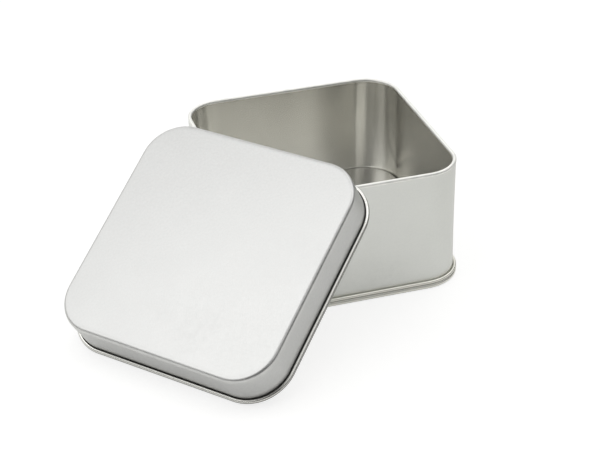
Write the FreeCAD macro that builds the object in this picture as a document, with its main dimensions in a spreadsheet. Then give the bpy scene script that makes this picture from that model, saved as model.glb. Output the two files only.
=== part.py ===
import FreeCAD, Part
import math
import os
import Sketcher

# An open square tin box of tinplate and its slip lid. The lid leans on the box: its lower curl
# lies on the floor and its upper curl rests on the rims of two walls.
# Frame: +Z up, the box's sides along X and Y, origin at the bottom centre of the whole set.

DIMENSIONS = {
    "sheet_gauge": 0.25,        # tinplate thickness
    "box_side": 90.0,           # outside of the wall, across flats
    "box_height": 50.3,
    "box_corner": 15.0,         # outside radius of the upright corners
    "rim_radius": 0.77,         # rolled bead round the mouth
    "rim_proud": 0.15,          # how far the bead stands out of the wall
    "rim_neck": 0.55,           # height of the jog under the bead
    "seam_height": 3.4,         # rolled seam round the foot
    "seam_proud": 1.45,
    "seam_bead": 0.65,          # radius of the small bead along the seam's top
    "seam_roll": 1.0,           # radius of the larger roll that the box stands on
    "seam_groove_depth": 0.45,  # of the groove between bead and roll
    "flange_height": 1.1,       # underside of the wall's foot flange, locked in the seam
    "flange_reach": 0.8,
    "floor_height": 7.9,        # inside floor above the table
    "floor_shoulder": 1.0,      # rounded edge of the floor panel
    "lid_side": 91.1,           # outside of the skirt, across flats
    "lid_height": 16.2,
    "lid_corner": 15.6,
    "lid_edge": 1.4,            # radius between top panel and skirt
    "curl_radius": 0.87,        # outward curl round the lid's mouth
    "lid_tilt": 33.14,          # degrees, at which the upper curl meets the rims
    "lid_heading": 41.2,        # degrees from +X of the lid's uphill direction
    "lid_offset_x": -52.5,      # centre of the lid's open side, from the box's centre
    "lid_offset_y": -44.7,
}

doc = FreeCAD.newDocument("square_tin")
sheet = doc.addObject("Spreadsheet::Sheet", "Dims")
for row, (alias, number) in enumerate(DIMENSIONS.items(), start=1):
    sheet.set(f"A{row}", alias)
    sheet.set(f"B{row}", str(number))
    sheet.setAlias(f"B{row}", alias)
doc.recompute()

ORIGIN_POINT = (-1, 1)
START, END = 1, 2


def number_of(formula):
    """The present value of a formula written in the sheet's aliases."""
    return float(sheet.evalExpression(formula))


def bound(formula):
    """The same formula, as another object must write it."""
    for alias in sorted(DIMENSIONS, key=len, reverse=True):
        formula = formula.replace(alias, f"<<Dims>>.{alias}")
    return formula


def origin_plane(body, role):
    return next(f for f in body.Origin.OriginFeatures if f.Role == role)


def add_dimension(sketch, kind, place, formula):
    """Add one driving dimension to a sketch and bind it to the sheet."""
    amount = number_of(formula)
    if kind == "Radius":
        index = sketch.addConstraint(Sketcher.Constraint(kind, place, amount))
    elif amount < 0:
        index = sketch.addConstraint(Sketcher.Constraint(kind, *place, *ORIGIN_POINT, -amount))
        formula = f"-({formula})"
    else:
        index = sketch.addConstraint(Sketcher.Constraint(kind, *ORIGIN_POINT, *place, amount))
    sketch.setExpression(f"Constraints[{index}]", bound(formula))


def closed_sketch(body, name, role, outline, lift="0"):
    """A sketch of one closed outline.

    Each entry of outline is (across, up) for a corner that a straight line leaves, or
    (across, up, centre_across, centre_up, turn) for one that an arc leaves, turn being
    "left" (anticlockwise) or "right". All are formulas in the sheet's aliases.
    """
    sketch = body.newObject("Sketcher::SketchObject", name)
    sketch.AttachmentSupport = [(origin_plane(body, role), "")]
    sketch.MapMode = "FlatFace"
    sketch.setExpression("AttachmentOffset.Base.z", bound(lift))
    points = [FreeCAD.Vector(number_of(c[0]), number_of(c[1]), 0) for c in outline]
    ends = []
    for index, corner in enumerate(outline):
        here = points[index]
        there = points[(index + 1) % len(points)]
        if len(corner) == 2:
            sketch.addGeometry(Part.LineSegment(here, there), False)
            ends.append((START, END))
            continue
        centre = FreeCAD.Vector(number_of(corner[2]), number_of(corner[3]), 0)
        turns_left = corner[4] == "left"
        first, last = (here, there) if turns_left else (there, here)
        circle = Part.Circle(centre, FreeCAD.Vector(0, 0, 1), (here - centre).Length)
        angles = [math.atan2(p.y - centre.y, p.x - centre.x) for p in (first, last)]
        sketch.addGeometry(Part.ArcOfCircle(circle, *angles), False)
        ends.append((START, END) if turns_left else (END, START))
    count = len(outline)
    for index in range(count):
        after = (index + 1) % count
        sketch.addConstraint(
            Sketcher.Constraint("Coincident", index, ends[index][1], after, ends[after][0]))
    for index, corner in enumerate(outline):
        add_dimension(sketch, "DistanceX", (index, ends[index][0]), corner[0])
        add_dimension(sketch, "DistanceY", (index, ends[index][0]), corner[1])
        if len(corner) == 5:
            across = f"(({corner[0]}) - ({corner[2]}))"
            up = f"(({corner[1]}) - ({corner[3]}))"
            add_dimension(sketch, "Radius", index, f"sqrt({across} ^ 2 + {up} ^ 2)")
    return sketch


def rounded_square(body, name, half, radius, lift="0"):
    """A level sketch of a square with round corners, from the middle of its +X side."""
    flat = f"(({half}) - ({radius}))"
    outline = [(half, "0")]
    quarters = [("", ""), ("-", ""), ("-", "-"), ("", "-")]
    for turn, (sign_x, sign_y) in enumerate(quarters):
        centre = (f"{sign_x}{flat}", f"{sign_y}{flat}")
        on_x_side = (f"{sign_x}({half})", f"{sign_y}{flat}")
        on_y_side = (f"{sign_x}{flat}", f"{sign_y}({half})")
        first, last = (on_x_side, on_y_side) if turn % 2 == 0 else (on_y_side, on_x_side)
        outline.append((*first, *centre, "left"))
        outline.append(last)
    return closed_sketch(body, name, "XY_Plane", outline, lift)


def ring(body, name, section, half, radius):
    """Sweep a section, drawn beside the +X side, once round a rounded square."""
    path = rounded_square(body, f"{name}_path", half, radius)
    profile = closed_sketch(body, f"{name}_section", "XZ_Plane", section)
    doc.recompute()
    pipe = body.newObject("PartDesign::AdditivePipe", name)
    pipe.Profile = (profile, [""])
    pipe.Spine = (path, [f"Edge{n}" for n in range(1, path.GeometryCount + 1)])
    pipe.Mode = "Frenet"
    return pipe


def panel(body, name, half, radius, underside):
    """A flat sheet with round corners, whose underside is at the given height."""
    outline = rounded_square(body, f"{name}_outline", half, radius, underside)
    pad = body.newObject("PartDesign::Pad", name)
    pad.Profile = outline
    pad.setExpression("Length", bound("sheet_gauge"))
    return pad


def new_body(label):
    body = doc.addObject("PartDesign::Body", label)
    body.Label = label
    return body


# Formulas that several sections share.
WALL_OUT = "box_side / 2"
WALL_IN = "(box_side / 2 - sheet_gauge)"
FLANGE_TOP = "(flange_height + sheet_gauge)"
FLANGE_END = "(box_side / 2 + flange_reach)"


def build_wall():
    """The band: a foot flange, the upright wall, a small jog and the bead rolled inwards."""
    body = new_body("wall")
    bead_out = "(box_side / 2 + rim_proud)"
    bead_x = "(box_side / 2 + rim_proud - rim_radius)"
    bead_z = "(box_height - rim_radius)"
    neck = "(box_height - rim_radius - rim_neck)"
    section = [
        (WALL_IN, "flange_height"),
        (FLANGE_END, "flange_height"),
        (FLANGE_END, FLANGE_TOP),
        (WALL_OUT, FLANGE_TOP),
        (WALL_OUT, neck),
        (bead_out, bead_z, bead_x, bead_z, "left"),
        (bead_x, "box_height - 2 * rim_radius"),
        (bead_x, "box_height - 2 * rim_radius + sheet_gauge", bead_x, bead_z, "right"),
        (f"{bead_out} - sheet_gauge", bead_z),
        (WALL_IN, neck),
    ]
    body.Tip = ring(body, "wall_band", section, "box_side / 2", "box_corner")
    return body


def build_bottom():
    """The bottom: a floor panel pushed up into the wall, and the double seam round its foot."""
    body = new_body("bottom")
    shoulder_x = "(box_side / 2 - sheet_gauge - floor_shoulder)"
    shoulder_z = "(floor_height - floor_shoulder)"
    skirt_in = "(box_side / 2 - 2 * sheet_gauge)"
    groove_x = "(box_side / 2 + seam_proud - seam_groove_depth)"
    bead_x = "(box_side / 2 + seam_proud - seam_bead)"
    bead_z = "(seam_height - seam_bead)"
    bead_rise = "sqrt(seam_bead ^ 2 - (seam_bead - seam_groove_depth) ^ 2)"
    roll_x = "(box_side / 2 + seam_proud - seam_roll)"
    roll_rise = "sqrt(seam_roll ^ 2 - (seam_roll - seam_groove_depth) ^ 2)"
    section = [
        (shoulder_x, "floor_height"),
        (shoulder_x, "floor_height - sheet_gauge", shoulder_x, shoulder_z, "right"),
        (skirt_in, shoulder_z),
        (skirt_in, "0"),
        (roll_x, "0", roll_x, "seam_roll", "left"),
        (groove_x, f"seam_roll + {roll_rise}"),
        (groove_x, f"{bead_z} - {bead_rise}", bead_x, bead_z, "left"),
        (f"{bead_x} - seam_bead", bead_z),
        (WALL_OUT, bead_z),
        (WALL_OUT, FLANGE_TOP),
        (FLANGE_END, FLANGE_TOP),
        (FLANGE_END, "flange_height"),
        (WALL_IN, "flange_height"),
        (WALL_IN, shoulder_z, shoulder_x, shoulder_z, "left"),
    ]
    ring(body, "seam", section, "box_side / 2", "box_corner")
    inset = "(sheet_gauge + floor_shoulder)"
    body.Tip = panel(body, "floor_panel", f"box_side / 2 - {inset}", f"box_corner - {inset}",
                     "floor_height - sheet_gauge")
    return body


def build_lid():
    """The lid: one drawn piece, its panel, rounded edge and skirt, and an outward curl."""
    body = new_body("lid")
    skirt_out = "lid_side / 2"
    skirt_in = "(lid_side / 2 - sheet_gauge)"
    edge_x = "(lid_side / 2 - lid_edge)"
    edge_z = "(lid_height - lid_edge)"
    curl_x = "(lid_side / 2 + curl_radius - sheet_gauge)"
    section = [
        (skirt_in, edge_z),
        (skirt_in, "curl_radius", curl_x, "curl_radius", "left"),
        (curl_x, "2 * curl_radius"),
        (curl_x, "2 * curl_radius - sheet_gauge", curl_x, "curl_radius", "right"),
        (skirt_out, "curl_radius"),
        (skirt_out, edge_z, edge_x, edge_z, "left"),
        (edge_x, "lid_height"),
        (edge_x, "lid_height - sheet_gauge", edge_x, edge_z, "right"),
    ]
    ring(body, "skirt", section, "lid_side / 2", "lid_corner")
    body.Tip = panel(body, "top_panel", "lid_side / 2 - lid_edge", "lid_corner - lid_edge",
                     "lid_height - sheet_gauge")
    return body


def lid_lean():
    """The lid's turn and the place of its open side's centre, from the box's centre."""
    tilt = number_of("lid_tilt")
    turn = FreeCAD.Rotation(FreeCAD.Vector(0, 0, 1), number_of("lid_heading"))
    turn = turn * FreeCAD.Rotation(FreeCAD.Vector(0, 1, 0), -tilt)
    curl = number_of("curl_radius")
    reach = number_of("lid_side / 2 + curl_radius - sheet_gauge")
    lift = curl + reach * math.sin(math.radians(tilt)) - curl * math.cos(math.radians(tilt))
    place = FreeCAD.Vector(number_of("lid_offset_x"), number_of("lid_offset_y"), lift)
    return FreeCAD.Placement(place, turn)


pieces = [build_wall(), build_bottom(), build_lid()]
pieces[-1].Placement = lid_lean()
doc.recompute()

# The origin goes to the bottom centre of the whole set.
whole = FreeCAD.BoundBox()
for piece in pieces:
    whole.add(piece.Shape.optimalBoundingBox())
to_origin = FreeCAD.Vector(-whole.Center.x, -whole.Center.y, 0)
for piece in pieces:
    piece.Placement = FreeCAD.Placement(to_origin, FreeCAD.Rotation()) * piece.Placement
doc.recompute()

for item in doc.Objects:
    if "Invalid" in item.State or "Error" in item.State:
        raise RuntimeError(f"{item.Name} failed: {item.State}")
os.makedirs("parts", exist_ok=True)
for piece in pieces:
    shape = piece.Shape
    if shape.isNull() or not shape.isValid() or len(shape.Solids) != 1:
        raise RuntimeError(f"{piece.Label} is not one valid solid")
    shape.exportStep(f"parts/{piece.Label}.step")
    box = shape.optimalBoundingBox()
    print(piece.Label, "volume", round(shape.Volume, 1), "box", box)
print("box centre", to_origin)
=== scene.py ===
import bpy
import bmesh
import math
from mathutils import Matrix, Vector, noise


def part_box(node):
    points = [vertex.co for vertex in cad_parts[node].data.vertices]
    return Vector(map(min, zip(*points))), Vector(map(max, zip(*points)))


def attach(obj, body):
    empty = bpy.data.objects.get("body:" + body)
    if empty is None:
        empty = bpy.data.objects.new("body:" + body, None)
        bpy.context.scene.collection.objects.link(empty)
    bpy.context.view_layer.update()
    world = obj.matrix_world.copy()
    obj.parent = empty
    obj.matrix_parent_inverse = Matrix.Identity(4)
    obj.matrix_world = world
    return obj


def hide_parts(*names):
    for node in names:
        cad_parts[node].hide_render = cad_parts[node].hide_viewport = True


# An open square tin box of plain tinplate, with its slip lid leaning on one corner.

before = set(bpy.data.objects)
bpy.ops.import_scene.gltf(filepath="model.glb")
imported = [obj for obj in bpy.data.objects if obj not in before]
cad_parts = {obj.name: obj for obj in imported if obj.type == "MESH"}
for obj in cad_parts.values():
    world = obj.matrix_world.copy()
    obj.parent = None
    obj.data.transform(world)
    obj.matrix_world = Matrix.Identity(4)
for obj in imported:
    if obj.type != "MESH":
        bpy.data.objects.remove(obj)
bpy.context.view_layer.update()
scene = bpy.context.scene
mm = 0.001

# The foot seam is the box's widest outline, so its middle is where the box stands.
bottomLow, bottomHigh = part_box("bottom")
boxPlace = Matrix.Translation(((bottomLow.x + bottomHigh.x) / 2, (bottomLow.y + bottomHigh.y) / 2, 0))

# The sheet that all three pieces are made of, in millimetres, and how finely it is divided.
tinSheet = {
    "gauge": 0.25,
    "bendStep": 8,        # degrees between the points of a bend
    "cornerSteps": 28,    # columns of faces round one upright corner
    "sideSteps": 16,      # columns of faces along one flat side
    "panelRings": (0.95, 0.86, 0.74, 0.6, 0.45, 0.3, 0.15),   # shares of the panel's half width
    "sharpAngle": 40,     # edges that turn more than this stay crisp
    "waveAcross": 23,     # how broad the faint waves in a flat side are
    "waveUp": 19,
    "crownSteep": 4,      # how fast a panel leaves its flat edge
}


# A section is a list of (x, z, side, fold): x outward from the piece's side and z upward, in
# millimetres; side says which face of the sheet leaves that point. Fold is 1 on a bend, and what
# it has above 1 says how deep the point lies in a joint or an underside: painted shade.

def arcPoints(centreX, centreZ, radius, fromAngle, toAngle, side):
    count = max(2, round(abs(toAngle - fromAngle) / tinSheet["bendStep"]))
    points = []
    for step in range(count + 1):
        angle = math.radians(fromAngle + (toAngle - fromAngle) * step / count)
        points.append((centreX + radius * math.cos(angle), centreZ + radius * math.sin(angle), side, 1.0))
    return points


def foldSheet(x, z, heading, steps, leftSide, rightSide):
    # Folds a strip of sheet along its middle line: ("run", length, rows) or ("bend", radius, degrees).
    half = tinSheet["gauge"] / 2
    line = [(x, z, heading, 0.0)]
    for kind, reach, amount in steps:
        if kind == "run":
            for row in range(amount):
                x += reach / amount * math.cos(math.radians(heading))
                z += reach / amount * math.sin(math.radians(heading))
                line.append((x, z, heading, 0.0))
            continue
        toCentre = math.radians(heading + (90 if amount > 0 else -90))
        centreX, centreZ = x + reach * math.cos(toCentre), z + reach * math.sin(toCentre)
        count = max(2, round(abs(amount) / tinSheet["bendStep"]))
        for index in range(1, count + 1):
            outward = toCentre + math.pi + math.radians(amount * index / count)
            x, z = centreX + reach * math.cos(outward), centreZ + reach * math.sin(outward)
            line.append((x, z, heading + amount * index / count, 1.0))
        heading += amount
    left, right = [], []
    for pointX, pointZ, angle, fold in line:
        sideX, sideZ = -math.sin(math.radians(angle)) * half, math.cos(math.radians(angle)) * half
        left.append((pointX + sideX, pointZ + sideZ, leftSide, fold))
        right.append((pointX - sideX, pointZ - sideZ, rightSide, fold))
    left.reverse()
    return right + left


def squareColumns(half, corner):
    # Points round a square with round corners: (x, y, outward x, outward y, distance).
    flat = half - corner
    columns, travelled = [], 0.0
    for quarter in range(4):
        turn = math.radians(90 * quarter)
        outX, outY = math.cos(turn), math.sin(turn)
        for step in range(tinSheet["sideSteps"]):
            along = -flat + 2 * flat * step / tinSheet["sideSteps"]
            columns.append((half * outX - along * outY, half * outY + along * outX, outX, outY,
                            travelled + along + flat))
        travelled += 2 * flat
        centreX, centreY = flat * (outX - outY), flat * (outY + outX)
        for step in range(tinSheet["cornerSteps"]):
            part = step / tinSheet["cornerSteps"]
            angle = turn + math.pi / 2 * part
            dirX, dirY = math.cos(angle), math.sin(angle)
            columns.append((centreX + corner * dirX, centreY + corner * dirY, dirX, dirY,
                            travelled + corner * math.pi / 2 * part))
        travelled += corner * math.pi / 2
    return columns, travelled


def springBack(size):
    # How far a flat side stands out at a place, in millimetres: rolled sheet springs a little.
    def stand(x, y, outX, outY, height):
        low, high = size["springLow"], size["springHigh"]
        if not low < height < high:
            return 0.0
        band = math.sin(math.pi * (height - low) / (high - low))
        along = abs(x * outY - y * outX) / size["flat"]
        middle = max(0.0, 1 - along * along)
        wave = noise.noise(Vector((x / tinSheet["waveAcross"], y / tinSheet["waveAcross"],
                                   height / tinSheet["waveUp"] + size["waveSeed"])))
        return band * (size["spring"] * middle + size["wave"] * wave)
    return stand


def panelCrown(size):
    # How far a panel stands up at a place, in millimetres: nothing at its edge, most in its middle.
    def rise(x, y, half):
        share = max(abs(x), abs(y)) / half
        return size["crown"] * (1 - share * share) * min(1.0, tinSheet["crownSteep"] * (1 - share))
    return rise


def buildPiece(name, section, size, place, stand=None, crown=None):
    # Carries a section round the square. With a crown, both skins close as a panel inside it.
    half, corner = size["side"] / 2, size["corner"]
    columns, around = squareColumns(half, corner)
    lengths = [0.0]
    for index in range(1, len(section)):
        before, here = section[index - 1], section[index]
        lengths.append(lengths[-1] + math.hypot(here[0] - before[0], here[1] - before[1]))
    mesh = bmesh.new()
    uvLayer = mesh.loops.layers.uv.new("sheet")
    foldLayer = mesh.verts.layers.float.new("fold")
    shadeMaskLayer = mesh.verts.layers.float.new("shadeMask")
    rows = []
    for x, y, outX, outY, travelled in columns:
        row = []
        for offset, height, side, fold in section:
            extra = stand(x, y, outX, outY, height) if stand else 0.0
            vertex = mesh.verts.new((x + outX * (offset + extra), y + outY * (offset + extra), height))
            vertex[foldLayer] = min(fold, 1.0)
            # What a fold has above 1 goes to its own mask, for painted shade.
            vertex[shadeMaskLayer] = max(0.0, fold - 1.0)
            row.append(vertex)
        rows.append(row)

    def addFace(corners, uvs, side):
        face = mesh.faces.new(corners)
        face.smooth = True
        face.material_index = 0 if side == "outer" else 1
        for loop, (u, v) in zip(face.loops, uvs):
            loop[uvLayer].uv = (u, v)

    def addPanelFace(corners, side, upward):
        if not upward:
            corners.reverse()
        addFace(corners, [(point.co.x, point.co.y) for point in corners], side)

    count = len(columns)
    steps = len(section) if crown is None else len(section) - 1
    for index in range(count):
        after = (index + 1) % count
        u, nextU = columns[index][4], columns[after][4] if after else around
        for step in range(steps):
            up = (step + 1) % len(section)
            v = lengths[step]
            nextV = lengths[up] if up else v + 1
            addFace((rows[index][step], rows[after][step], rows[after][up], rows[index][up]),
                    ((u, v), (nextU, v), (nextU, nextV), (u, nextV)), section[step][2])
    if crown is not None:
        for step, upward in ((0, False), (len(section) - 1, True)):
            side = section[-2][2] if upward else section[0][2]
            ring = [row[step] for row in rows]
            rim = [vertex.co.copy() for vertex in ring]
            for scale in tinSheet["panelRings"]:
                inner = []
                for point in rim:
                    x, y = point.x * scale, point.y * scale
                    inner.append(mesh.verts.new((x, y, point.z + crown(x, y, half))))
                for index in range(count):
                    after = (index + 1) % count
                    addPanelFace([ring[index], ring[after], inner[after], inner[index]], side, upward)
                ring = inner
            middle = mesh.verts.new((0, 0, rim[0].z + crown(0, 0, half)))
            for index in range(count):
                addPanelFace([ring[index], ring[(index + 1) % count], middle], side, upward)
    for edge in mesh.edges:
        if len(edge.link_faces) == 2:
            edge.smooth = edge.calc_face_angle() < math.radians(tinSheet["sharpAngle"])
    mesh.transform(place @ Matrix.Scale(mm, 4))
    data = bpy.data.meshes.new(name)
    mesh.to_mesh(data)
    mesh.free()
    piece = bpy.data.objects.new(name, data)
    scene.collection.objects.link(piece)
    return piece


# The markings that every finish can have. A noise is (scale, detail, roughness), and a span is
# the part of it that is stretched to run from 0 to 1.
markings = {
    "speckleNoise": (3.0, 0.65),       # its scale is the finish's own fineness
    "speckleSpan": (0.3, 0.7),
    "cloudNoise": (55.0, 3.0, 0.5),
    "cloudSpan": (0.3, 0.7),
    "grainNoise": (1.0, 4.0, 0.7),
    "grainSpan": (0.25, 0.75),
    "grainStretch": 0.05,              # how little a grain line changes along its length
    "wearNoise": (160.0, 4.0, 0.6),
    "wearSpan": (0.85, 1.15),
    "blotNoise": (32.0, 2.0, 0.45),
    "blotSpan": (0.56, 0.72),
    "skinNoise": (420.0, 2.0, 0.5),
    "skinSpan": (0.35, 0.7),
}


def makeGroup(name, inputs, outputs):
    group = bpy.data.node_groups.new(name, "ShaderNodeTree")
    for label, value in inputs:
        socket = group.interface.new_socket(label, in_out="INPUT", socket_type="NodeSocketFloat")
        socket.default_value = value
    for label in outputs:
        group.interface.new_socket(label, in_out="OUTPUT", socket_type="NodeSocketFloat")
    return group, group.nodes.new("NodeGroupInput"), group.nodes.new("NodeGroupOutput")


def placeGroup(tree, group, label, value):
    node = tree.nodes.new("ShaderNodeGroup")
    node.node_tree = group
    node.inputs[label].default_value = value
    return node


def addMath(tree, operation, first, second=None, clamp=False):
    node = tree.nodes.new("ShaderNodeMath")
    node.operation = operation
    node.use_clamp = clamp
    for socket, value in zip(node.inputs, (first, second)):
        if value is None:
            continue
        if isinstance(value, (int, float)):
            socket.default_value = value
        else:
            tree.links.new(value, socket)
    return node.outputs[0]


def addNoise(tree, vector, scale, detail, roughness):
    node = tree.nodes.new("ShaderNodeTexNoise")
    node.inputs["Detail"].default_value = detail
    node.inputs["Roughness"].default_value = roughness
    if isinstance(scale, (int, float)):
        node.inputs["Scale"].default_value = scale
    else:
        tree.links.new(scale, node.inputs["Scale"])
    tree.links.new(vector, node.inputs["Vector"])
    return node.outputs["Fac"]


def addRange(tree, value, low, high, toLow=0.0, toHigh=1.0):
    node = tree.nodes.new("ShaderNodeMapRange")
    tree.links.new(value, node.inputs["Value"])
    for label, number in (("From Min", low), ("From Max", high), ("To Min", toLow), ("To Max", toHigh)):
        node.inputs[label].default_value = number
    return node.outputs["Result"]


def addScale(tree, colour, factor):
    node = tree.nodes.new("ShaderNodeVectorMath")
    node.operation = "SCALE"
    tree.links.new(colour, node.inputs[0])
    tree.links.new(factor, node.inputs["Scale"])
    return node.outputs["Vector"]


def makeSpeckle():
    # The coarse matt texture of silver-lacquered tinplate, and soft clouds: 0.5 on average.
    group, given, result = makeGroup("mattSpeckle", [("Fineness", 1500.0)], ["Speckle", "Cloud"])
    place = group.nodes.new("ShaderNodeTexCoord").outputs["Object"]
    fine = addNoise(group, place, given.outputs["Fineness"], *markings["speckleNoise"])
    cloud = addNoise(group, place, *markings["cloudNoise"])
    group.links.new(addRange(group, fine, *markings["speckleSpan"]), result.inputs["Speckle"])
    group.links.new(addRange(group, cloud, *markings["cloudSpan"]), result.inputs["Cloud"])
    return group


def makeGrain():
    # Rolling grain: fine lines along the sheet's long way, from the "sheet" UV map.
    group, given, result = makeGroup("rollingGrain", [("Lines per mm", 4.0)], ["Grain"])
    uv = group.nodes.new("ShaderNodeUVMap")
    uv.uv_map = "sheet"
    split = group.nodes.new("ShaderNodeSeparateXYZ")
    group.links.new(uv.outputs["UV"], split.inputs["Vector"])
    join = group.nodes.new("ShaderNodeCombineXYZ")
    group.links.new(addMath(group, "MULTIPLY", split.outputs["X"], markings["grainStretch"]),
                    join.inputs["X"])
    group.links.new(addMath(group, "MULTIPLY", split.outputs["Y"], given.outputs["Lines per mm"]),
                    join.inputs["Y"])
    lines = addNoise(group, join.outputs["Vector"], *markings["grainNoise"])
    group.links.new(addRange(group, lines, *markings["grainSpan"]), result.inputs["Grain"])
    return group


def makeFoldWear():
    # Where folds are rubbed: the mesh's "fold" mask, broken up by handling. On the wall it also carries a
    # painted highlight.
    group, given, result = makeGroup("foldWear", [("Reach", 0.5)], ["Wear"])
    fold = group.nodes.new("ShaderNodeAttribute")
    fold.attribute_name = "fold"
    place = group.nodes.new("ShaderNodeTexCoord").outputs["Object"]
    patches = addNoise(group, place, *markings["wearNoise"])
    shifted = addMath(group, "ADD", patches, given.outputs["Reach"])
    broken = addRange(group, shifted, *markings["wearSpan"])
    group.links.new(addMath(group, "MULTIPLY", broken, fold.outputs["Fac"], True), result.inputs["Wear"])
    return group


def makeSmudges():
    # Faint finger marks: soft blotches that only change gloss and tone a little.
    group, given, result = makeGroup("smudges", [("Amount", 0.5)], ["Smudge"])
    place = group.nodes.new("ShaderNodeTexCoord").outputs["Object"]
    blot = addRange(group, addNoise(group, place, *markings["blotNoise"]), *markings["blotSpan"])
    skin = addRange(group, addNoise(group, place, *markings["skinNoise"]), *markings["skinSpan"])
    both = addMath(group, "MULTIPLY", blot, skin)
    group.links.new(addMath(group, "MULTIPLY", both, given.outputs["Amount"], True),
                    result.inputs["Smudge"])
    return group


def makePaintedShade():
    # What is left of the light in joints and undersides: painted shade, 1 in the open, less by the mesh's
    # shade mask.
    group, given, result = makeGroup("paintedShade", [("Shade", 0.6)], ["Light"])
    shadeMask = group.nodes.new("ShaderNodeAttribute")
    shadeMask.attribute_name = "shadeMask"
    lost = addMath(group, "MULTIPLY", shadeMask.outputs["Fac"], given.outputs["Shade"])
    group.links.new(addMath(group, "SUBTRACT", 1.0, lost), result.inputs["Light"])
    return group


speckleGroup = makeSpeckle()
grainGroup = makeGrain()
foldWearGroup = makeFoldWear()
smudgeGroup = makeSmudges()
paintedShadeGroup = makePaintedShade()
print("shader groups made")


# The lid's finish. The tones say how far a marking goes to either side of the colour, and the
# depths are in millimetres.
lidLook = {
    # Set darker than the wall's colour, though both are the same silver tinplate: painted shade.
    "colour": (0.615, 0.617, 0.607),
    "wornAndSheenColour": (0.66, 0.66, 0.645),
    # how dark the painted shade is where its mask is full
    "paintedShade": 0.6,
    "metallic": 1.0,
    "ior": 1.5,
    "anisotropic": 0.3,
    "glossTurn": 0.25,        # gloss spreads across the grain
    "roughness": 0.4,
    "roughSpread": 0.05,
    "speckleFineness": 1100.0,
    "speckleTone": 0.05,
    "speckleDepth": 0.003,
    "cloudTone": 0.01,
    "grainLines": 3.0,        # to the millimetre
    "grainTone": 0.006,
    "grainDepth": 0.0004,
    "wearReach": 0.5,
    "wornPolish": 0.04,       # taken off the roughness of a rubbed fold, or added where below 0
    "smudge": 0.2,
    "smudgeTone": 0.04,
    "smudgeRough": 0.12,
}
wallLook = dict(
    lidLook,
    # Set lighter than the lid's colour: painted light; the faint green tint is the sheet's own.
    colour=(0.75, 0.758, 0.727),
    wornAndSheenColour=(0.97, 0.968, 0.93),   # painted highlight on the rolled rim, with some wear; it is a little rougher
    wearReach=0.66,
    wornPolish=-0.15,
    speckleTone=0.022,
    smudge=0.5,
)
insideLook = dict(
    lidLook,
    colour=(0.825, 0.818, 0.776),
    wornAndSheenColour=(0.835, 0.828, 0.788),
    wornPolish=0.0,
    paintedShade=0.85,
    anisotropic=0.6,
    roughness=0.24,
    roughSpread=0.005,
    speckleTone=0.003,
    speckleDepth=0.0,
    grainLines=1.2,
    grainTone=0.03,
    grainDepth=0.0,
    smudge=0.15,
)
footLook = dict(
    insideLook,
    # A little lighter than the inside's: partly a painted highlight on the seam's bead, partly the plain
    # tinplate's own colour.
    colour=(0.84, 0.83, 0.76),
    wornAndSheenColour=(0.86, 0.85, 0.78),
    paintedShade=0.75,
    roughness=0.33,
    roughSpread=0.0,
    grainTone=0.005,
    smudge=0.0,
)


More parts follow.
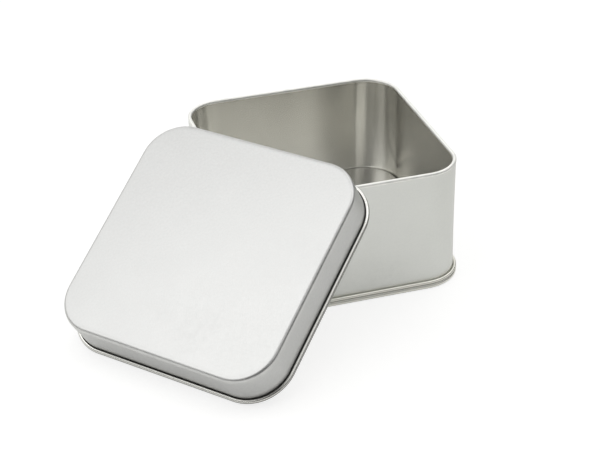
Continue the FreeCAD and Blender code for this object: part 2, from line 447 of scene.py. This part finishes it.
def makeTinFinish(name, look):
    # One finish of the sheet. The shader stays here; the groups only give masks and heights.
    material = bpy.data.materials.new(name)
    material.use_nodes = True
    tree = material.node_tree
    shader = tree.nodes["Principled BSDF"]
    shader.inputs["Metallic"].default_value = look["metallic"]
    shader.inputs["Anisotropic"].default_value = look["anisotropic"]
    shader.inputs["Anisotropic Rotation"].default_value = look["glossTurn"]
    shader.inputs["IOR"].default_value = look["ior"]

    texture = placeGroup(tree, speckleGroup, "Fineness", look["speckleFineness"])
    speckle, cloud = texture.outputs["Speckle"], texture.outputs["Cloud"]
    grain = placeGroup(tree, grainGroup, "Lines per mm", look["grainLines"]).outputs["Grain"]
    wearAndSheen = placeGroup(tree, foldWearGroup, "Reach", look["wearReach"]).outputs["Wear"]
    smudge = placeGroup(tree, smudgeGroup, "Amount", look["smudge"]).outputs["Smudge"]
    # Painted shade: the colour is darkened in joints, grooves and undersides by the shade mask.
    light = placeGroup(tree, paintedShadeGroup, "Shade", look["paintedShade"]).outputs["Light"]

    # The sheet's own colour, or the worn one on folds (on the wall's rim mostly a painted highlight),
    # times every tone and the painted shade.
    tone = addRange(tree, speckle, 0, 1, 1 - look["speckleTone"], 1 + look["speckleTone"])
    cloudTone = addRange(tree, cloud, 0, 1, 1 - look["cloudTone"], 1 + look["cloudTone"])
    grainTone = addRange(tree, grain, 0, 1, 1 - look["grainTone"], 1 + look["grainTone"])
    smudgeTone = addRange(tree, smudge, 0, 1, 1.0, 1 - look["smudgeTone"])
    for other in (cloudTone, grainTone, smudgeTone):
        tone = addMath(tree, "MULTIPLY", tone, other)
    wearAndSheenMix = tree.nodes.new("ShaderNodeMix")
    wearAndSheenMix.data_type = "RGBA"
    wearAndSheenMix.inputs["A"].default_value = (*look["colour"], 1)
    wearAndSheenMix.inputs["B"].default_value = (*look["wornAndSheenColour"], 1)
    tree.links.new(wearAndSheen, wearAndSheenMix.inputs["Factor"])
    colour = addScale(tree, addScale(tree, wearAndSheenMix.outputs["Result"], tone), light)
    tree.links.new(colour, shader.inputs["Base Color"])

    # Speckle and finger marks change the roughness, and rubbed folds have their own.
    rough = addRange(tree, speckle, 0, 1, look["roughness"] - look["roughSpread"],
                     look["roughness"] + look["roughSpread"])
    rough = addMath(tree, "ADD", rough, addMath(tree, "MULTIPLY", smudge, look["smudgeRough"]))
    polish = addMath(tree, "MULTIPLY", wearAndSheen, look["wornPolish"])
    tree.links.new(addMath(tree, "SUBTRACT", rough, polish, True), shader.inputs["Roughness"])

    height = addMath(tree, "ADD", addMath(tree, "MULTIPLY", speckle, look["speckleDepth"]),
                     addMath(tree, "MULTIPLY", grain, look["grainDepth"]))
    bump = tree.nodes.new("ShaderNodeBump")
    bump.inputs["Strength"].default_value = 1.0
    bump.inputs["Distance"].default_value = mm
    tree.links.new(height, bump.inputs["Height"])
    tree.links.new(bump.outputs["Normal"], shader.inputs["Normal"])
    tangent = tree.nodes.new("ShaderNodeTangent")
    tangent.direction_type = "UV_MAP"
    tangent.uv_map = "sheet"
    tree.links.new(tangent.outputs["Tangent"], shader.inputs["Tangent"])
    return material


wallFinish = makeTinFinish("wallSilver", wallLook)
lidFinish = makeTinFinish("lidSilver", lidLook)
insideFinish = makeTinFinish("plainTinplate", insideLook)
footFinish = makeTinFinish("footTinplate", footLook)
print("finishes made")


# The box's wall: a strip with a foot flange, a jog and a bead rolled inwards at its rim.
wallSize = {
    "side": 90.0,
    "height": 50.3,
    "corner": 15.0,
    "flangeHeight": 1.1,
    "flangeReach": 0.8,
    "flangeBend": 0.25,
    "wallRows": 22,       # rows of faces up the wall
    "beadRadius": 0.77,
    "beadProud": 0.15,
    "beadTurn": 292,      # degrees that the rim is rolled
    "jogBend": 0.5,
    "spring": -0.22,      # how far the flat sides stand in at their middle
    "wave": 0.05,
    "waveSeed": 3.0,
    "springLow": 3.6,     # the sides are straight below and above these heights
    "springHigh": 47.6,
    "flat": 30.0,         # half of a flat side's length
}


def makeWall(size):
    gauge = tinSheet["gauge"]
    bend, jog = size["flangeBend"], size["jogBend"]
    jogAngle = math.degrees(math.acos(1 - size["beadProud"] / (2 * jog)))
    jogRise = 2 * jog * math.sin(math.radians(jogAngle))
    upright = size["height"] - size["beadRadius"] - jogRise - size["flangeHeight"] - gauge / 2 - bend
    steps = [
        ("run", size["flangeReach"] + gauge / 2 - bend, 1),
        ("bend", bend, -90),
        ("run", upright, size["wallRows"]),
        ("bend", jog, -jogAngle),
        ("bend", jog, jogAngle),
        ("bend", size["beadRadius"] - gauge / 2, size["beadTurn"]),
    ]
    section = foldSheet(size["flangeReach"], size["flangeHeight"] + gauge / 2, 180, steps,
                        "inner", "outer")
    wall = buildPiece("box_wall", section, size, boxPlace, springBack(size))
    wall.data.materials.append(wallFinish)
    wall.data.materials.append(insideFinish)
    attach(wall, "root")
    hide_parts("wall")


makeWall(wallSize)
print("wall made")


# The box's bottom: a panel pushed up into the wall, and the seam rolled round the foot.
bottomSize = {
    "side": 90.0,
    "corner": 15.0,
    "floorHeight": 7.9,
    "shoulder": 1.0,
    "shoulderShade": 0.8, # how deep the painted shade lies where the panel meets the wall
    "footBevel": 0.2,     # at the foot's inner edge
    "seamHeight": 3.4,
    "seamProud": 1.45,
    "seamBead": 0.65,
    "seamRoll": 1.0,
    "beadTuck": 0.1,      # how far the bead turns down behind its middle to meet the wall
    "grooveDepth": 0.45,
    "grooveRise": 0.1,    # the groove's middle, from the bead's lowest point
    "grooveShade": 0.65,  # how far the painted shade in the groove reaches
    "footShade": 0.8,     # and that of the painted shade on the edge on the floor
    "flangeHeight": 1.1,
    "flangeReach": 0.8,
    "crown": -0.25,       # the panel sags this much in its middle
}


def makeBottom(size):
    gauge = tinSheet["gauge"]
    shoulderX = -gauge - size["shoulder"]
    shoulderZ = size["floorHeight"] - size["shoulder"]
    beadX = size["seamProud"] - size["seamBead"]
    beadZ = size["seamHeight"] - size["seamBead"]
    rollX = size["seamProud"] - size["seamRoll"]
    beadSink = math.degrees(math.acos((size["seamBead"] - size["grooveDepth"]) / size["seamBead"]))
    rollRise = math.degrees(math.acos((size["seamRoll"] - size["grooveDepth"]) / size["seamRoll"]))
    grooveX = size["seamProud"] - size["grooveDepth"]
    grooveZ = beadZ - size["seamBead"] + size["grooveRise"]
    flangeTop = size["flangeHeight"] + gauge

    # Down inside the foot, out round the roll, the groove and the bead, and back to the wall.
    section = arcPoints(shoulderX, shoulderZ, size["shoulder"] - gauge, 90, 0, "outer")
    section.append((-2 * gauge, size["footBevel"], "outer", 0.0))
    section.append((-2 * gauge + size["footBevel"], 0.0, "outer", 0.0))
    roll = arcPoints(rollX, size["seamRoll"], size["seamRoll"], -90, rollRise, "outer")
    bead = arcPoints(beadX, beadZ, size["seamBead"], -beadSink, 180, "outer")
    # Painted shade in the groove and on the edge that stands on the floor.
    for x, z, side, fold in roll + bead:
        inGroove = max(0.0, 1 - math.hypot(x - grooveX, z - grooveZ) / size["grooveShade"])
        underFoot = max(0.0, 1 - z / size["footShade"])
        section.append((x, z, side, fold + max(inGroove, underFoot)))

    # The hollow inside the seam, where the wall's flange lies, and up to the panel.
    section += [
        (0.0, beadZ - size["beadTuck"], "outer", 0.0),
        (0.0, flangeTop, "outer", 0.0),
        (size["flangeReach"], flangeTop, "outer", 0.0),
        (size["flangeReach"], size["flangeHeight"], "inner", 0.0),
        (-gauge, size["flangeHeight"], "inner", 0.0),
    ]
    # Painted shade along the line where the panel meets the wall, darkest at the wall.
    shoulder = arcPoints(shoulderX, shoulderZ, size["shoulder"], 0, 90, "inner")
    for index, (x, z, side, fold) in enumerate(shoulder):
        upShoulder = index / (len(shoulder) - 1)
        section.append((x, z, side, fold + size["shoulderShade"] * (1 - upShoulder ** 2)))

    bottom = buildPiece("box_bottom", section, size, boxPlace, None, panelCrown(size))
    bottom.data.materials.append(footFinish)
    bottom.data.materials.append(insideFinish)
    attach(bottom, "root")
    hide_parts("bottom")


makeBottom(bottomSize)
print("bottom made")


# The lid: a drawn panel and skirt with its mouth curled outward, leaning on the box.
lidSize = {
    "side": 91.1,
    "height": 16.2,
    "corner": 15.6,
    "edge": 1.4,
    "skirtRows": 8,       # rows of faces down the skirt
    "curlRadius": 0.87,
    "curlTurn": 285,      # degrees that the mouth is curled
    "panelLap": 1.0,
    "shadeFrom": 1.45,    # painted shade on the curl deepens from here down to shadeFull
    "shadeFull": 0.8,
    "skirtShade": 4.2,    # how far up the skirt the curl's painted shade reaches
    "tilt": 33.14,
    "heading": 41.2,      # degrees from +X of the uphill direction
    "offset": (-52.5, -44.7),
    "spring": -0.1,
    "wave": 0.04,
    "waveSeed": 9.0,
    "springLow": 1.8,
    "springHigh": 14.6,
    "flat": 29.9,
    "crown": 0.15,        # the panel stands up this much in its middle
}


def shadeCurl(section, size):
    # Paints shade on the curl's underside and the foot of the skirt beside it.
    shaded = []
    for x, z, side, fold in section:
        if side == "inner":   # the curl turns the sheet's inner face outward
            share = (size["shadeFrom"] - z) / (size["shadeFrom"] - size["shadeFull"])
        else:
            share = max(0.0, 1 - (z - size["curlRadius"]) / size["skirtShade"]) ** 2
        share = min(1.0, max(0.0, share))
        shaded.append((x, z, side, 1 + share if share > 0 else fold))
    return shaded


def makeLid(size):
    gauge = tinSheet["gauge"]
    reach = size["side"] / 2 + size["curlRadius"] - gauge
    tilt = math.radians(size["tilt"])
    # Lifted until the lower curl just rests on the floor.
    lift = size["curlRadius"] + reach * math.sin(tilt) - size["curlRadius"] * math.cos(tilt)
    place = (boxPlace @ Matrix.Translation((size["offset"][0] * mm, size["offset"][1] * mm, lift * mm))
             @ Matrix.Rotation(math.radians(size["heading"]), 4, "Z") @ Matrix.Rotation(-tilt, 4, "Y"))
    steps = [
        ("run", size["panelLap"], 1),
        ("bend", size["edge"] - gauge / 2, -90),
        ("run", size["height"] - size["edge"] - size["curlRadius"], size["skirtRows"]),
        ("bend", size["curlRadius"] - gauge / 2, size["curlTurn"]),
    ]
    section = foldSheet(-size["edge"] - size["panelLap"], size["height"] - gauge / 2, 0, steps,
                        "outer", "inner")
    lid = buildPiece("lid_sheet", shadeCurl(section, size), size, place, springBack(size),
                     panelCrown(size))
    lid.data.materials.append(lidFinish)
    lid.data.materials.append(insideFinish)
    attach(lid, "root")
    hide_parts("lid")


makeLid(lidSize)
print("lid made")


# A pale floor that the camera sees as white. The metal mirrors it too, with painted shade: dimmer to the
# right.
floorLook = {
    "half": 3.0,              # metres
    "colour": (0.88, 0.88, 0.855),
    "roughness": 0.9,
    "white": 1.25,            # how brightly that white glows
    "shown": 0.62,            # share of plain white that the camera sees in the floor
    "mirrored": 0.33,         # the same for what the metal mirrors, left of dimStart
    "dimmed": 0.06,           # and right of dimEnd: painted shade in what the metal mirrors
    "dimStart": 0.05,         # metres from the middle of the box
    "dimEnd": 0.15,
}


def makeFloor(look):
    mesh = bpy.data.meshes.new("floor")
    half = look["half"]
    mesh.from_pydata([(-half, -half, 0), (half, -half, 0), (half, half, 0), (-half, half, 0)], [],
                     [(0, 1, 2, 3)])
    floor = bpy.data.objects.new("floor", mesh)
    scene.collection.objects.link(floor)
    material = bpy.data.materials.new("paleFloor")
    material.use_nodes = True
    tree = material.node_tree
    shader = tree.nodes["Principled BSDF"]
    shader.inputs["Base Color"].default_value = (*look["colour"], 1)
    shader.inputs["Roughness"].default_value = look["roughness"]
    shader.inputs["Specular IOR Level"].default_value = 0.0
    white = tree.nodes.new("ShaderNodeEmission")
    white.inputs["Strength"].default_value = look["white"]
    rays = tree.nodes.new("ShaderNodeLightPath")
    shown = addMath(tree, "MULTIPLY", rays.outputs["Is Camera Ray"], look["shown"])
    across = tree.nodes.new("ShaderNodeSeparateXYZ")
    tree.links.new(tree.nodes.new("ShaderNodeTexCoord").outputs["Object"], across.inputs["Vector"])
    middle = boxPlace.translation.x
    # Painted shade: the glow that the metal mirrors fades toward the right.
    share = addRange(tree, across.outputs["X"], middle + look["dimStart"], middle + look["dimEnd"],
                     look["mirrored"], look["dimmed"])
    mirrored = addMath(tree, "MULTIPLY", rays.outputs["Is Glossy Ray"], share)
    mix = tree.nodes.new("ShaderNodeMixShader")
    tree.links.new(addMath(tree, "ADD", shown, mirrored), mix.inputs["Fac"])
    tree.links.new(shader.outputs["BSDF"], mix.inputs[1])
    tree.links.new(white.outputs["Emission"], mix.inputs[2])
    tree.links.new(mix.outputs["Shader"], tree.nodes["Material Output"].inputs["Surface"])
    mesh.materials.append(material)


# The room: soft bright patches in a dim sky, and plain white where the camera sees it.
roomLight = {
    "patches": (              # degrees from +Y toward +X, degrees up, level
        (17, 27, 0.89),
        (-40, 30, 0.82),
        (-90, 45, 0.78),
        (75, 55, 1.1),
        (150, 55, 0.55),
        (0, 88, 0.25),
    ),
    "level": 0.02,            # what the rest of the room adds
    "patchEdge": 0.75,        # cosine from a patch's middle at which it has faded out
    "patchFull": 0.97,        # and at which it has its full level
}


def makeSky(light):
    world = bpy.data.worlds.new("studioSky")
    scene.world = world
    world.use_nodes = True
    tree = world.node_tree
    tree.nodes.clear()
    result = tree.nodes.new("ShaderNodeOutputWorld")
    direction = tree.nodes.new("ShaderNodeTexCoord").outputs["Generated"]
    total = light["level"]
    for heading, rise, level in light["patches"]:
        turn, lift = math.radians(heading), math.radians(rise)
        facing = tree.nodes.new("ShaderNodeVectorMath")
        facing.operation = "DOT_PRODUCT"
        tree.links.new(direction, facing.inputs[0])
        facing.inputs[1].default_value = (math.sin(turn) * math.cos(lift), math.cos(turn) * math.cos(lift),
                                          math.sin(lift))
        spread = tree.nodes.new("ShaderNodeMapRange")
        spread.interpolation_type = "SMOOTHSTEP"
        spread.inputs["From Min"].default_value = light["patchEdge"]
        spread.inputs["From Max"].default_value = light["patchFull"]
        spread.inputs["To Max"].default_value = level
        tree.links.new(facing.outputs["Value"], spread.inputs["Value"])
        total = addMath(tree, "ADD", spread.outputs["Result"], total)
    lit = tree.nodes.new("ShaderNodeBackground")
    lit.inputs["Color"].default_value = (1, 1, 1, 1)
    tree.links.new(total, lit.inputs["Strength"])
    white = tree.nodes.new("ShaderNodeBackground")
    white.inputs["Color"].default_value = (1, 1, 1, 1)
    rays = tree.nodes.new("ShaderNodeLightPath")
    mix = tree.nodes.new("ShaderNodeMixShader")
    tree.links.new(rays.outputs["Is Camera Ray"], mix.inputs["Fac"])
    tree.links.new(lit.outputs["Background"], mix.inputs[1])
    tree.links.new(white.outputs["Background"], mix.inputs[2])
    tree.links.new(mix.outputs["Shader"], result.inputs["Surface"])


# One level softbox above the lid.
softboxLight = {
    "place": (-0.24, -0.03, 0.45),   # metres
    "size": (0.5, 0.3),
    "watts": 0.4,
}


def makeSoftbox(light):
    data = bpy.data.lights.new("softbox", "AREA")
    data.shape = "RECTANGLE"
    data.size, data.size_y = light["size"]
    data.energy = light["watts"]
    lamp = bpy.data.objects.new("softbox", data)
    scene.collection.objects.link(lamp)
    lamp.location = light["place"]
    lamp.visible_camera = False


cameraView = {
    "lens": 97.03,
    "sensor": 36.0,
    "clip": (0.01, 50.0),
    "place": (-173.12, -543.2, 338.63),   # millimetres from the middle of the box's foot
    "heading": 16.874,                    # degrees from +Y toward +X
    "pitch": -30.007,
    "roll": -1.134,
}


def makeCamera(view):
    data = bpy.data.cameras.new("camera")
    data.lens = view["lens"]
    data.sensor_width = view["sensor"]
    data.clip_start, data.clip_end = view["clip"]
    camera = bpy.data.objects.new("camera", data)
    scene.collection.objects.link(camera)
    heading, pitch = math.radians(view["heading"]), math.radians(view["pitch"])
    forward = Vector((math.sin(heading) * math.cos(pitch), math.cos(heading) * math.cos(pitch),
                      math.sin(pitch)))
    turn = forward.to_track_quat("-Z", "Y").to_matrix().to_4x4()
    place = boxPlace @ Matrix.Translation(Vector(view["place"]) * mm)
    camera.matrix_world = place @ turn @ Matrix.Rotation(math.radians(view["roll"]), 4, "Z")
    scene.camera = camera


makeFloor(floorLook)
makeSky(roomLight)
makeSoftbox(softboxLight)
makeCamera(cameraView)
scene.view_settings.view_transform = "Standard"
print("studio made")

bpy.context.view_layer.update()
